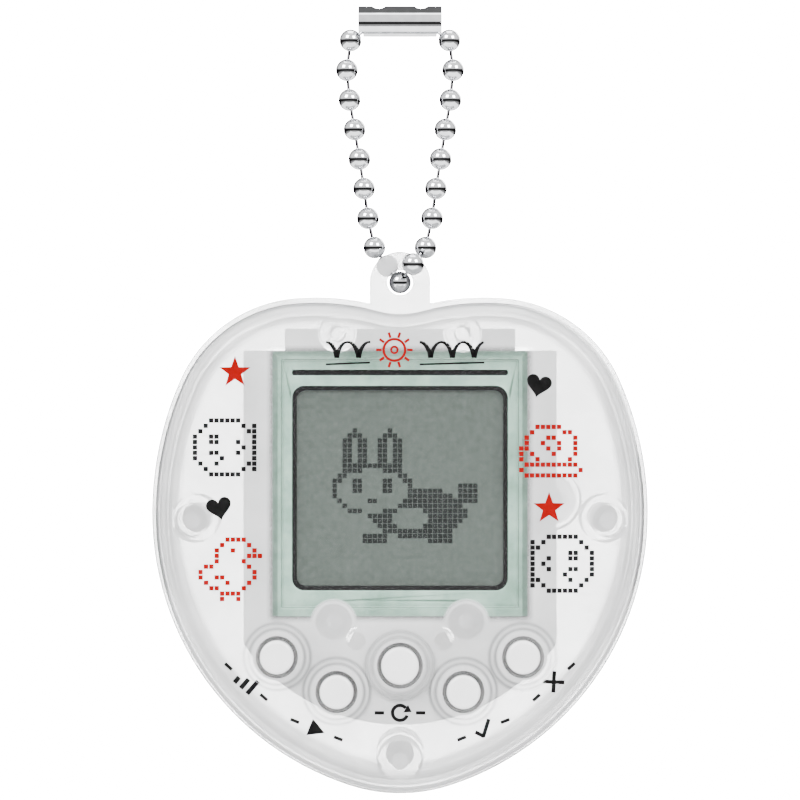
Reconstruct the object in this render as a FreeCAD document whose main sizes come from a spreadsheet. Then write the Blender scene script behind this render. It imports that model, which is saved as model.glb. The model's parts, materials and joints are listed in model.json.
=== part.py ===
"""Virtual pet keychain: an egg-like two-part case with a screen and five buttons, hung on a ball chain.

Millimetres. +Z is up, the screen faces -Y and the parting plane of the case is Y = 0.
The origin is the middle of the connector's underside, where a ring or a hook carries the chain.
Case parts are drawn about the case's widest point and lowered by case_drop.
"""
import FreeCAD, Part
import math
import os
import Sketcher

V = FreeCAD.Vector
doc = FreeCAD.newDocument("VirtualPetKeychain")

SIZES = {
    # case outline: radii of the tangent arcs, the angles of the normals where they meet
    "case_drop": 52.5, "notch_height": 22.9,
    "notch_arc": 8.0, "lobe_arc": 27.0, "shoulder_arc": 15.0, "side_arc": 35.5, "lower_arc": 31.0,
    "notch_turn": 105.1, "lobe_turn": 85.0, "shoulder_turn": 24.0, "side_turn": -2.0,
    "lower_turn": -72.3,
    # case depth and walls
    "front_depth": 7.5, "rear_depth": 8.5, "wall": 1.4, "flange_step": 0.7, "flange_depth": 0.9,
    "edge_round": 2.6, "inner_round": 1.2, "tongue_depth": 1.2, "tongue_inset": 1.45, "wall_inset": 2.1,
    "rebate_inset": 1.35, "rebate_depth": 1.4,
    # lug
    "lug_radius": 3.3, "lug_height": 25.75, "lug_half": 1.1, "lug_hole": 1.4, "lug_root": 22.2,
    # pillars, bosses and pins
    "side_pillar_x": 22.4, "side_pillar": 1.8, "rear_pillar": 2.6, "low_pillar_z": -25.9,
    "low_pillar": 2.4, "screw_pilot": 0.9, "screw_bore": 1.6,
    "peg_x": 6.8, "peg_z": 20.2, "peg_boss": 1.9, "peg_radius": 0.8,
    "board_boss_x": 7.1, "board_boss_z": -10.8, "board_boss": 1.95, "pin_x": 4.66, "pin_z": -12.9,
    "pin_radius": 1.0,
    # buttons
    "outer_button_x": 13.1, "outer_button_z": -14.4, "inner_button_x": 6.75, "inner_button_z": -18.1,
    "mid_button_z": -15.3, "cap_radius": 1.8, "cap_top": 9.1, "cap_flange": 2.7, "button_hole": 2.25,
    "collar_radius": 3.46, "collar_ring": 2.9, "collar_step": 0.45, "collar_rise": 0.9,
    "dome_base": 2.5, "dome_top": 1.3, "middle_grow": 0.2,
    # screen
    "holder_width": 27.4, "holder_height": 28.5, "screen_z": 4.0, "window_width": 23.1,
    "window_height": 21.9, "window_z": 3.5, "window_round": 1.3, "pocket_width": 25.0,
    "pocket_height": 26.0, "recess_width": 25.4, "recess_height": 26.6, "recess_depth": 0.35,
    "gap_z": 15.9, "gap_height": 0.55, "border": 0.45, "glass_width": 24.6, "glass_height": 25.4,
    "glass_thick": 0.7, "film_thick": 0.2, "ledge": 2.2,
    # circuit board
    "board_front": 1.0, "board_half": 17.0, "board_top": 20.7, "board_tab": 12.5,
    "board_shoulder": 18.3, "board_side": -13.5, "board_low": -22.3,
    # battery box and door
    "cell_radius": 5.8, "cell_x": 6.1, "cell_z": 2.0, "cell_height": 5.4, "box_centre_x": 6.5,
    "box_inner": 6.1, "box_outer": 7.4, "door_radius": 7.2, "door_gap": 0.15, "ear_x": 16.6,
    "ear_radius": 2.8, "floor_near": 0.2, "floor_far": 0.8,
    # fasteners, sounder
    "screw_head": 1.5, "screw_shank": 0.85, "recess_wide": 0.35, "recess_deep": 0.4,
    "sounder_radius": 6.0, "sounder_z": -16.0,
    # connector
    "tube_length": 9.07, "tube_radius": 1.45, "tube_wall": 0.2, "slot_half": 0.7, "lip_top": 3.2,
    # ball chain
    "bead_radius": 1.2, "bead_wall": 0.2, "bead_hole": 0.3, "neck_radius": 0.17, "head_radius": 0.38,
    "head_offset": 0.5, "pitch": 3.26, "loop_pitch": 3.4, "end_bead_z": 1.45, "first_bead_z": -0.4,
    "leg_one": 5.38, "leg_two": 5.78, "leg_three": 5.49, "leg_four": 4.94, "leg_five": 4.42,
    "leg_six": 3.91, "leg_seven": 3.49, "leg_eight": 2.78,
}
LEG = ["leg_one", "leg_two", "leg_three", "leg_four", "leg_five", "leg_six", "leg_seven", "leg_eight"]

sheet = doc.addObject("Spreadsheet::Sheet", "Sheet")
probe = doc.addObject("App::FeaturePython", "Probe")
for row, (alias, size) in enumerate(SIZES.items(), start=1):
    sheet.set(f"A{row}", alias)
    sheet.set(f"B{row}", str(size))
    sheet.setAlias(f"B{row}", alias)
doc.recompute()

NODES = []


def cells(expression):
    """The expression with each size named as a cell of the sheet."""
    words = []
    for word in str(expression).replace("(", "( ").replace(")", " )").split():
        words.append(f"Sheet.{word}" if word in SIZES else word)
    return " ".join(words)


def number(expression):
    """The present value of an expression in the sheet's sizes."""
    return float(probe.evalExpression(cells(expression)))


def keep(node, name):
    """Register an object as a finished node and name its file."""
    node.Label = name
    NODES.append(node)
    return node


# ---------------------------------------------------------------- sketch helpers

def new_body(name):
    """A case part: its own origin sits at the case's widest point."""
    body = doc.addObject("PartDesign::Body", name)
    body.setExpression("Placement.Base.z", cells("- case_drop"))
    return keep(body, name)


def plane_of(body, role):
    return [plane for plane in body.Origin.OriginFeatures if plane.Role == role][0]


def new_sketch(body, name, back="0", role="XZ_Plane"):
    """A sketch on the body's XZ plane, moved back to the given Y."""
    sketch = body.newObject("Sketcher::SketchObject", f"{body.Name}_{name}")
    sketch.AttachmentSupport = (plane_of(body, role), "")
    sketch.MapMode = "FlatFace"
    sign = "-" if role == "XZ_Plane" else ""
    sketch.setExpression("AttachmentOffset.Base.z", cells(f"{sign} 1 * ( {back} )"))
    return sketch


def drive(sketch, kind, expression, *refs):
    """A dimension of the sketch that follows an expression."""
    index = sketch.addConstraint(Sketcher.Constraint(kind, *refs, number(expression)))
    sketch.setExpression(f"Constraints[{index}]", cells(expression))


def fix_point(sketch, index, end, across, up):
    """Hold one end of a piece of geometry at a driven place."""
    drive(sketch, "DistanceX", across, -1, 1, index, end)
    drive(sketch, "DistanceY", up, -1, 1, index, end)


def add_circle(sketch, across, up, radius):
    centre = V(number(across), number(up), 0)
    index = sketch.addGeometry(Part.Circle(centre, V(0, 0, 1), number(radius)))
    fix_point(sketch, index, 3, across, up)
    drive(sketch, "Radius", radius, index)


def add_polygon(sketch, corners):
    """A closed outline of straight lines through driven corners."""
    places = [V(number(across), number(up), 0) for across, up in corners]
    count = len(corners)
    first = sketch.GeometryCount
    for step in range(count):
        sketch.addGeometry(Part.LineSegment(places[step], places[(step + 1) % count]))
    for step in range(count):
        after = first + (step + 1) % count
        sketch.addConstraint(Sketcher.Constraint("Coincident", first + step, 2, after, 1))
        fix_point(sketch, first + step, 1, *corners[step])


def add_box(sketch, across, up, half_width, half_height):
    """A rectangle about a centre."""
    low, high = f"{up} - ( {half_height} )", f"{up} + ( {half_height} )"
    left, right = f"{across} - ( {half_width} )", f"{across} + ( {half_width} )"
    add_polygon(sketch, [(left, low), (right, low), (right, high), (left, high)])


def add_line(sketch, start, stop):
    """A straight line between two driven points."""
    places = [V(number(across), number(up), 0) for across, up in (start, stop)]
    index = sketch.addGeometry(Part.LineSegment(*places))
    fix_point(sketch, index, 1, *start)
    fix_point(sketch, index, 2, *stop)


def add_arc(sketch, centre, radius, start, stop):
    """An arc that runs anticlockwise between two points of a driven circle."""
    middle = V(number(centre[0]), number(centre[1]), 0)
    circle = Part.Circle(middle, V(0, 0, 1), number(radius))
    angles = []
    for across, up in (start, stop):
        angles.append(math.atan2(number(up) - middle.y, number(across) - middle.x))
    if angles[1] <= angles[0]:
        angles[1] += 2 * math.pi
    index = sketch.addGeometry(Part.ArcOfCircle(circle, *angles))
    fix_point(sketch, index, 3, *centre)
    drive(sketch, "Radius", radius, index)
    for end, angle, place in ((1, angles[0], start), (2, angles[1], stop)):
        if abs(math.sin(angle)) > 0.7:
            drive(sketch, "DistanceX", place[0], -1, 1, index, end)
        else:
            drive(sketch, "DistanceY", place[1], -1, 1, index, end)


def add_slot(sketch, left, right, up, radius):
    """An obround between two centres on one level."""
    low, high = f"{up} - ( {radius} )", f"{up} + ( {radius} )"
    add_line(sketch, (left, low), (right, low))
    add_arc(sketch, (right, up), radius, (right, low), (right, high))
    add_line(sketch, (right, high), (left, high))
    add_arc(sketch, (left, up), radius, (left, high), (left, low))


def add_rounded_box(sketch, up, half_width, half_height, radius):
    """A rectangle with round corners, centred across."""
    right, top = f"( {half_width} )", f"( {up} + ( {half_height} ) )"
    bottom = f"( {up} - ( {half_height} ) )"
    inner = f"( {right} - ( {radius} ) )"
    high, low = f"( {top} - ( {radius} ) )", f"( {bottom} + ( {radius} ) )"
    left, inner_left = f"- 1 * {right}", f"- 1 * {inner}"
    add_line(sketch, (inner_left, bottom), (inner, bottom))
    add_arc(sketch, (inner, low), radius, (inner, bottom), (right, low))
    add_line(sketch, (right, low), (right, high))
    add_arc(sketch, (inner, high), radius, (right, high), (inner, top))
    add_line(sketch, (inner, top), (inner_left, top))
    add_arc(sketch, (inner_left, high), radius, (inner_left, top), (left, high))
    add_line(sketch, (left, high), (left, low))
    add_arc(sketch, (inner_left, low), radius, (left, low), (inner_left, bottom))


def add_case_outline(sketch, inset):
    """The case outline moved inwards by an inset: tangent arcs from the notch to the bottom."""
    arcs = ["- notch_arc", "lobe_arc", "shoulder_arc", "side_arc", "lower_arc"]
    turns = ["notch_turn", "lobe_turn", "shoulder_turn", "side_turn", "lower_turn"]
    across, up = "0", "notch_height + notch_arc"
    notch = (across, up)
    ends, centres = [], []
    for step, turn in enumerate(turns):
        reach = f"( ( {arcs[step]} ) - ( {inset} ) )"
        centres.append((across, up))
        ends.append((f"{across} + {reach} * cos( {turn} )", f"{up} + {reach} * sin( {turn} )"))
        if step < 4:
            shift = f"( ( {arcs[step]} ) - ( {arcs[step + 1]} ) )"
            across, up = f"{across} + {shift} * cos( {turn} )", f"{up} + {shift} * sin( {turn} )"
    for step in range(1, 5):
        radius = f"{arcs[step]} - ( {inset} )"
        add_arc(sketch, centres[step], radius, ends[step], ends[step - 1])
        add_arc(sketch, mirror(centres[step]), radius, mirror(ends[step - 1]), mirror(ends[step]))
    bottom = ("0", f"{up} - ( {across} ) * tan( lower_turn )")
    radius = f"lower_arc + ( {across} ) / cos( lower_turn ) - ( {inset} )"
    add_arc(sketch, bottom, radius, mirror(ends[4]), ends[4])
    add_arc(sketch, notch, f"notch_arc + ( {inset} )", mirror(ends[0]), ends[0])


def mirror(point):
    """The same point on the other side of the middle plane."""
    return f"- 1 * ( {point[0]} )", point[1]


# ---------------------------------------------------------------- feature helpers

def make_pad(body, sketch, length):
    """Material from the sketch towards the front."""
    pad = body.newObject("PartDesign::Pad", f"{sketch.Name}_pad")
    pad.Profile = sketch
    pad.setExpression("Length", cells(length))
    body.Tip = pad
    return pad


def make_pocket(body, sketch, length):
    """A cut from the sketch towards the front."""
    pocket = body.newObject("PartDesign::Pocket", f"{sketch.Name}_cut")
    pocket.Profile = sketch
    pocket.setExpression("Length", cells(length))
    pocket.Reversed = True
    body.Tip = pocket
    return pocket


def make_fillet(body, base, face_y, radius):
    """Round the edges of the last feature that lie at one Y."""
    doc.recompute()
    chosen = []
    for index, edge in enumerate(base.Shape.Edges, start=1):
        box = edge.BoundBox
        if abs(box.YMin - face_y) < 1e-4 and abs(box.YMax - face_y) < 1e-4:
            chosen.append(f"Edge{index}")
    fillet = body.newObject("PartDesign::Fillet", f"{base.Name}_round")
    fillet.Base = (base, chosen)
    fillet.setExpression("Radius", cells(radius))
    body.Tip = fillet
    return fillet


def plate(name, back, thick, draw):
    """A flat piece: one closed outline and one thickness."""
    body = new_body(name)
    sketch = new_sketch(body, "outline", back)
    draw(sketch)
    make_pad(body, sketch, thick)
    return body


def shapes_pad(body, name, back, length, draw):
    sketch = new_sketch(body, name, back)
    draw(sketch)
    return make_pad(body, sketch, length)


def shapes_pocket(body, name, back, length, draw):
    sketch = new_sketch(body, name, back)
    draw(sketch)
    return make_pocket(body, sketch, length)


BUTTONS = {
    "left_outer": ("- outer_button_x", "outer_button_z"),
    "left_inner": ("- inner_button_x", "inner_button_z"),
    "middle": ("0", "mid_button_z"),
    "right_inner": ("inner_button_x", "inner_button_z"),
    "right_outer": ("outer_button_x", "outer_button_z"),
}
CASE_SCREWS = [("- side_pillar_x", "0"), ("side_pillar_x", "0"), ("0", "low_pillar_z")]
PEGS = [("- peg_x", "peg_z"), ("peg_x", "peg_z")]
BOARD_BOSSES = [("- board_boss_x", "board_boss_z"), ("board_boss_x", "board_boss_z")]
PINS = [("- pin_x", "pin_z"), ("pin_x", "pin_z")]


def circles(places, radius):
    """A drawing of equal circles, for the pad and pocket helpers."""
    def draw(sketch):
        for across, up in places:
            add_circle(sketch, across, up, radius)
    return draw


def button_circles(radius):
    """A drawing of a circle round each button, the middle one a little larger."""
    def draw(sketch):
        for key, (across, up) in BUTTONS.items():
            add_circle(sketch, across, up, f"{radius} + middle_grow" if key == "middle" else radius)
    return draw


def lug_outline(sketch):
    """A tab with a round top that stands on the notch of the case."""
    right, left = ("lug_radius", "lug_height"), ("- lug_radius", "lug_height")
    low_right, low_left = ("lug_radius", "lug_root"), ("- lug_radius", "lug_root")
    add_arc(sketch, ("0", "lug_height"), "lug_radius", right, left)
    add_line(sketch, left, low_left)
    add_line(sketch, low_left, low_right)
    add_line(sketch, low_right, right)


# ---------------------------------------------------------------- case shells

def build_front_case():
    body = new_body("front_case")
    flange = new_sketch(body, "flange")
    add_case_outline(flange, "0")
    make_pad(body, flange, "flange_depth")
    shell = new_sketch(body, "shell")
    add_case_outline(shell, "flange_step")
    solid = make_pad(body, shell, "front_depth")
    make_fillet(body, solid, -number("front_depth"), "edge_round")
    tongue = new_sketch(body, "tongue", "tongue_depth")
    add_case_outline(tongue, "tongue_inset")
    make_pad(body, tongue, "tongue_depth + 0.2")
    cavity = new_sketch(body, "cavity", "tongue_depth")
    add_case_outline(cavity, "wall_inset")
    cut = make_pocket(body, cavity, "tongue_depth + front_depth - wall")
    make_fillet(body, cut, -number("front_depth - wall"), "inner_round")
    shapes_pocket(body, "tongue_gaps", "tongue_depth + 1", "tongue_depth + 0.95",
                  circles(CASE_SCREWS, "rear_pillar + 0.15"))
    inside = "front_depth - wall + 0.4"
    shapes_pad(body, "lug", "0", "lug_half", lug_outline)
    shapes_pocket(body, "lug_hole", "1", "4", circles([("0", "lug_height")], "lug_hole"))
    shapes_pad(body, "side_pillars", "- 0.1", f"{inside} - 0.1", circles(CASE_SCREWS[:2], "side_pillar"))
    shapes_pad(body, "low_pillar", "- 0.1", f"{inside} - 0.1", circles(CASE_SCREWS[2:], "low_pillar"))
    shapes_pad(body, "peg_bosses", "- 0.3", f"{inside} - 0.3", circles(PEGS, "peg_boss"))
    board = "board_front + 0.05"
    shapes_pad(body, "board_bosses", f"- ( {board} )", f"{inside} - ( {board} )",
               circles(BOARD_BOSSES, "board_boss"))
    shapes_pad(body, "pins", "- 0.3", f"{inside} - 0.3", circles(PINS, "pin_radius"))
    shapes_pocket(body, "pilots", "1", "5.5", circles(CASE_SCREWS, "screw_pilot"))
    shapes_pocket(body, "sockets", "1", "4.5", circles(PEGS, "peg_radius + 0.1"))
    shapes_pocket(body, "board_pilots", "1", "5.5", circles(BOARD_BOSSES, "screw_pilot - 0.1"))
    add_button_collars(body)
    return body


def add_button_collars(body):
    """Two stepped rings round each button, and the hole the cap works in."""
    shapes_pad(body, "collars", "- front_depth + 0.2", "collar_step + 0.2",
               button_circles("collar_radius"))
    shapes_pad(body, "collar_rings", "- front_depth + 0.2", "collar_rise + 0.2",
               button_circles("collar_ring"))
    shapes_pocket(body, "button_holes", "- 5", "5", button_circles("button_hole"))


def build_rear_case():
    body = new_body("rear_case")
    flange = new_sketch(body, "flange", "flange_depth")
    add_case_outline(flange, "0")
    make_pad(body, flange, "flange_depth")
    shell = new_sketch(body, "shell", "rear_depth")
    add_case_outline(shell, "flange_step")
    solid = make_pad(body, shell, "rear_depth")
    make_fillet(body, solid, number("rear_depth"), "edge_round")
    cavity = new_sketch(body, "cavity", "rear_depth - wall")
    add_case_outline(cavity, "wall_inset")
    cut = make_pocket(body, cavity, "rear_depth")
    make_fillet(body, cut, number("rear_depth - wall"), "inner_round")
    rebate = new_sketch(body, "rebate", "rebate_depth")
    add_case_outline(rebate, "rebate_inset")
    make_pocket(body, rebate, "rebate_depth + 1")
    shapes_pad(body, "lug", "lug_half", "lug_half", lug_outline)
    shapes_pocket(body, "lug_hole", "3", "4", circles([("0", "lug_height")], "lug_hole"))
    wall_y = "rear_depth - wall + 0.4"
    sounder = [("0", "sounder_z")]
    shapes_pad(body, "pillars", wall_y, f"{wall_y} - 0.1", circles(CASE_SCREWS, "rear_pillar"))
    shapes_pad(body, "pegs", wall_y, f"{wall_y} + 2.5", circles(PEGS, "peg_radius"))
    add_battery_box(body)
    shapes_pad(body, "sounder_ring", wall_y, "0.8", circles(sounder, "sounder_radius + 0.9"))
    shapes_pocket(body, "sounder_seat", "rear_depth - wall", "2",
                  circles(sounder, "sounder_radius + 0.15"))
    holes = sounder + [("- 2", "sounder_z"), ("2", "sounder_z")]
    shapes_pocket(body, "sound_holes", "rear_depth + 1", "3", circles(holes, "0.5"))
    shapes_pocket(body, "screw_seats", "rear_depth + 1", "5", circles(CASE_SCREWS, "screw_bore"))
    shapes_pocket(body, "screw_holes", "rear_depth + 1", "12", circles(CASE_SCREWS, "screw_pilot + 0.03"))
    return body


def add_battery_box(body):
    """An open box for two button cells, a seat for its door and a boss for the door's screw."""
    wall_y = "rear_depth - wall + 0.4"

    def slot(radius):
        return lambda sketch: add_slot(sketch, "- box_centre_x", "box_centre_x", "cell_z", radius)

    shapes_pad(body, "battery_box", wall_y, f"{wall_y} - floor_near", slot("box_outer"))
    ear = [("ear_x", "cell_z")]
    shapes_pad(body, "door_boss", wall_y, f"{wall_y} - 2", circles(ear, "3.3"))
    shapes_pocket(body, "battery_bay", "rear_depth + 1", "rear_depth + 1 - floor_far",
                  slot("box_inner"))
    seat = "1 + wall"
    shapes_pocket(body, "door_seat", "rear_depth + 1", seat, slot("door_radius + door_gap"))
    shapes_pocket(body, "ear_seat", "rear_depth + 1", seat,
                  lambda sketch: add_slot(sketch, "10", "ear_x", "cell_z", "ear_radius + door_gap"))
    shapes_pocket(body, "door_pilot", "rear_depth", "5.5", circles(ear, "screw_pilot"))
    shapes_pocket(body, "contact_slits", "floor_far + 0.35", "0.4", contact_slits)


def contact_slits(sketch):
    """Slits in the battery box for the tails of the two contacts."""
    add_box(sketch, "- 13.5", "cell_z", "2", "1.6")
    add_box(sketch, "12.2", "cell_z - 4", "3", "1.2")


def build_battery_door():
    body = new_body("battery_door")
    shapes_pad(body, "panel", "rear_depth", "wall - 0.05",
               lambda sketch: add_slot(sketch, "- box_centre_x", "box_centre_x", "cell_z", "door_radius"))
    shapes_pad(body, "ear", "rear_depth", "wall - 0.05",
               lambda sketch: add_slot(sketch, "10", "ear_x", "cell_z", "ear_radius"))
    centre = [("ear_x", "cell_z")]
    shapes_pocket(body, "seat", "rear_depth + 1", "1.9", circles(centre, "screw_head + 0.15"))
    shapes_pocket(body, "hole", "rear_depth + 1", "4", circles(centre, "screw_shank + 0.08"))
    return body


def cross_bar(name, length, wide):
    """One bar of a screw's cross recess, centred on the axis."""
    bar = doc.addObject("Part::Box", name)
    bar.setExpression("Length", cells(length))
    bar.setExpression("Width", cells(wide))
    bar.setExpression("Height", cells("recess_deep"))
    bar.setExpression("Placement.Base.x", cells(f"- ( {length} ) / 2"))
    bar.setExpression("Placement.Base.y", cells(f"- ( {wide} ) / 2"))
    return bar


def build_screws(name, places, head_back, head, shank, head_radius="screw_head",
                 shank_radius="screw_shank"):
    """Cross-head screws that share one node as separate solids."""
    screws = []
    for index, (across, up) in enumerate(places):
        cap = cylinder(f"{name}_head_{index}", head_radius, head)
        stem = cylinder(f"{name}_shank_{index}", shank_radius, shank)
        stem.setExpression("Placement.Base.z", cells(head))
        solid = combine("Part::MultiFuse", f"{name}_solid_{index}", [cap, stem])
        span = f"{head_radius} * 1.3"
        bars = [cross_bar(f"{name}_bar_{index}", span, "recess_wide"),
                cross_bar(f"{name}_rib_{index}", "recess_wide", span)]
        screw = doc.addObject("Part::Cut", f"{name}_screw_{index}")
        screw.Base = solid
        screw.Tool = combine("Part::MultiFuse", f"{name}_drive_{index}", bars)
        screw.Placement.Rotation = FreeCAD.Rotation(V(1, 0, 0), 90)
        screw.setExpression("Placement.Base.x", cells(across))
        screw.setExpression("Placement.Base.y", cells(head_back))
        screw.setExpression("Placement.Base.z", cells(f"{up} - case_drop"))
        screws.append(screw)
    return compound(name, screws)


# ---------------------------------------------------------------- solids outside PartDesign

def cylinder(name, radius, height):
    item = doc.addObject("Part::Cylinder", name)
    item.setExpression("Radius", cells(radius))
    item.setExpression("Height", cells(height))
    return item


def sphere(name, radius, up="0"):
    item = doc.addObject("Part::Sphere", name)
    item.setExpression("Radius", cells(radius))
    item.setExpression("Placement.Base.z", cells(up))
    return item


def combine(kind, name, items):
    item = doc.addObject(kind, name)
    item.Shapes = items
    return item


def compound(name, items):
    item = doc.addObject("Part::Compound", name)
    item.Links = items
    return keep(item, name)


# ---------------------------------------------------------------- buttons

def build_button(key, across, up):
    """A cap with a flange behind the case wall and a stem that presses the dome."""
    body = new_body(f"button_{key}")
    place = [(across, up)]
    radius = "cap_radius + middle_grow" if key == "middle" else "cap_radius"
    flange_front = "front_depth - wall - 0.1"
    top = shapes_pad(body, "cap", "- 5", "cap_top - 5", circles(place, radius))
    make_fillet(body, top, -number("cap_top"), "0.35")
    shapes_pad(body, "flange", "- 5.2", f"{flange_front} - 5.2", circles(place, "cap_flange"))
    shapes_pad(body, "stem", "- 3.4", "2", circles(place, "1.2"))
    return body


def build_dome(key, across, up):
    """A silicone dome: a cone with a hollow under it, closed by the board."""
    parts = []
    for label, low, high, tall in (("outer", "dome_base", "dome_top", "2.3"),
                                   ("inner", "dome_base - 0.6", "dome_top - 0.5", "1.6")):
        cone = doc.addObject("Part::Cone", f"dome_{key}_{label}")
        cone.setExpression("Radius1", cells(low))
        cone.setExpression("Radius2", cells(high))
        cone.setExpression("Height", cells(tall))
        parts.append(cone)
    dome = doc.addObject("Part::Cut", f"dome_{key}")
    dome.Base, dome.Tool = parts
    dome.Placement.Rotation = FreeCAD.Rotation(V(1, 0, 0), 90)
    dome.setExpression("Placement.Base.x", cells(across))
    dome.setExpression("Placement.Base.y", cells("- board_front - 0.05"))
    dome.setExpression("Placement.Base.z", cells(f"{up} - case_drop"))
    return keep(dome, f"dome_{key}")


# ---------------------------------------------------------------- screen

def build_screen():
    holder = plate("lcd_holder", "- board_front - 0.1", "4.8", lambda sketch: add_box(
        sketch, "0", "screen_z", "holder_width / 2", "holder_height / 2"))
    shapes_pocket(holder, "pocket", "0", "4.95", lambda sketch: add_box(
        sketch, "0", "screen_z", "pocket_width / 2", "pocket_height / 2"))
    shapes_pocket(holder, "boss_notches", "0", "7", circles(BOARD_BOSSES, "board_boss + 0.3"))
    shapes_pocket(holder, "recess", "- 5.9 + recess_depth", "1", lambda sketch: add_box(
        sketch, "0", "screen_z", "recess_width / 2", "recess_height / 2"))
    shapes_pocket(holder, "window", "0", "7", lambda sketch: add_rounded_box(
        sketch, "window_z", "window_width / 2", "window_height / 2", "window_round"))
    shapes_pocket(holder, "gap", "0", "7", lambda sketch: add_box(
        sketch, "0", "gap_z", "window_width / 2", "gap_height / 2"))
    bevel_front(holder)
    front = "4.85"
    for name, back, thick, draw in (
            ("lcd_gasket", f"- ( {front} - film_thick )", "film_thick", gasket_outline),
            ("front_polariser", f"- ( {front} - 2 * film_thick )", "film_thick - 0.02", film_outline),
            ("lcd_front_glass", f"- ( {front} - 2 * film_thick - glass_thick )", "glass_thick",
             lambda sketch: add_box(sketch, "0", "screen_z", "glass_width / 2", "glass_height / 2")),
            ("lcd_rear_glass", f"- ( {front} - 2 * film_thick - 2 * glass_thick )", "glass_thick",
             short_glass),
            ("lcd_reflector", f"- ( {front} - 3 * film_thick - 2 * glass_thick )", "film_thick",
             short_glass)):
        plate(name, back, thick, draw)
    plate("zebra_strip", "- board_front", "1.6 + 2 * glass_thick - 0.25", lambda sketch: add_box(
        sketch, "0", "screen_z - glass_height / 2 + 1.1", "10.5", "0.8"))
    plate("foam_pad", "- board_front - 0.05", "1.6", lambda sketch: add_box(
        sketch, "0", "screen_z + 3", "10", "5"))


def gasket_outline(sketch):
    """A thin dark frame that borders the picture area and backs the gap above the window."""
    add_box(sketch, "0", "screen_z", "glass_width / 2", "glass_height / 2")
    add_rounded_box(sketch, "window_z", "window_width / 2 - border", "window_height / 2 - border",
                    "window_round - 0.3")


def film_outline(sketch):
    """The polariser is a little smaller than the glass it lies on."""
    add_box(sketch, "0", "window_z", "glass_width / 2 - 0.4", "glass_height / 2 - 0.7")


def short_glass(sketch):
    """The rear plate stops short of the ledge with the contacts."""
    add_box(sketch, "0", "screen_z + ledge / 2", "glass_width / 2", "( glass_height - ledge ) / 2")


def bevel_front(holder):
    """Bevel the holder's outer front edge."""
    doc.recompute()
    base = holder.Tip
    front = base.Shape.BoundBox.YMin
    edges = []
    for index, edge in enumerate(base.Shape.Edges, start=1):
        if abs(edge.BoundBox.YMax - front) < 1e-4 and edge.Length > number("recess_height") + 0.2:
            edges.append(f"Edge{index}")
    bevel = holder.newObject("PartDesign::Chamfer", "lcd_holder_bevel")
    bevel.Base = (base, edges)
    bevel.Size = 0.6
    holder.Tip = bevel


# ---------------------------------------------------------------- electronics

def board_outline(sketch):
    """A board with a tab at the top and a rounded foot below the buttons."""
    low = V(0, number("board_low"), 0)
    corners = [("board_half", "board_side"), ("board_half", "board_shoulder"),
               ("board_tab", "board_shoulder"), ("board_tab", "board_top"),
               ("- board_tab", "board_top"), ("- board_tab", "board_shoulder"),
               ("- board_half", "board_shoulder"), ("- board_half", "board_side")]
    places = [V(number(across), number(up), 0) for across, up in corners]
    for step in range(7):
        sketch.addGeometry(Part.LineSegment(places[step], places[step + 1]))
        fix_point(sketch, step, 1, *corners[step])
        fix_point(sketch, step, 2, *corners[step + 1])
    arc = sketch.addGeometry(Part.Arc(places[7], low, places[0]))
    fix_point(sketch, arc, 1, *corners[7])
    fix_point(sketch, arc, 2, *corners[0])
    rise = "( board_side - board_low )"
    drive(sketch, "Radius", f"( board_half ^ 2 + {rise} ^ 2 ) / ( 2 * {rise} )", arc)


def build_board():
    board = plate("circuit_board", "0", "board_front", board_outline)
    shapes_pocket(board, "notches", "1", "3", circles(PEGS, "peg_boss + 0.2"))
    shapes_pocket(board, "pin_holes", "1", "3", circles(PINS, "pin_radius + 0.2"))
    shapes_pocket(board, "screw_holes", "1", "3", circles(BOARD_BOSSES, "screw_shank + 0.1"))
    blob = doc.addObject("Part::Ellipsoid", "chip_blob_round")
    blob.Radius1, blob.Radius2, blob.Radius3 = 1.3, 3.6, 3.6
    blob.Angle1, blob.Angle2 = 0, 90
    blob.Placement.Rotation = FreeCAD.Rotation(V(1, 0, 0), -90)
    blob.setExpression("Placement.Base.z", cells("mid_button_z - case_drop"))
    keep(blob, "chip_blob")
    build_small_parts()


def build_small_parts():
    """Surface-mount resistors and capacitors on the back of the board."""
    chips = []
    places = [(-9, -9), (-11.5, -9), (11, -8.5), (11, -12.5), (-4.4, -8.4), (5.5, -20)]
    for index, (across, up) in enumerate(places):
        chip = doc.addObject("Part::Box", f"small_part_{index}")
        chip.Length, chip.Width, chip.Height = 1.25, 0.6, 2.0
        chip.Placement.Base = V(across - 0.625, 0, 0)
        chip.setExpression("Placement.Base.z", cells(f"{up} - 1 - case_drop"))
        chips.append(chip)
    compound("small_parts", chips)


def build_cell(side, across, can_back, cap_back):
    """A button cell: its wide can, and the smaller cap on the negative end."""
    body = new_body(f"button_cell_{side}")
    place = [(across, "cell_z")]
    shapes_pad(body, "can", can_back, "cell_height - 0.4", circles(place, "cell_radius"))
    shapes_pad(body, "cap", cap_back, "cell_height", circles(place, "cell_radius - 0.9"))


def build_power():
    """Two cells in series, a contact in front of each and the bridge on the door behind them."""
    back = "floor_far + 0.5 + cell_height"
    build_cell("left", "- cell_x", back, back)
    build_cell("right", "cell_x", f"{back} - 0.4", back)
    plate("contact_minus", "floor_far + 0.3", "0.3", minus_strip)
    plate("contact_plus", "floor_far + 0.3", "0.3", plus_strip)
    for name, across in (("contact_minus", "- cell_x"), ("contact_plus", "cell_x")):
        strip = doc.getObject(name)
        shapes_pad(strip, "dimple", "floor_far + 0.5", "0.3", circles([(across, "cell_z")], "1.6"))
    plate("battery_bridge", "rear_depth - wall + 0.05", "0.3", lambda sketch: add_slot(
        sketch, "- cell_x", "cell_x", "cell_z", "3.2"))


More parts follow.
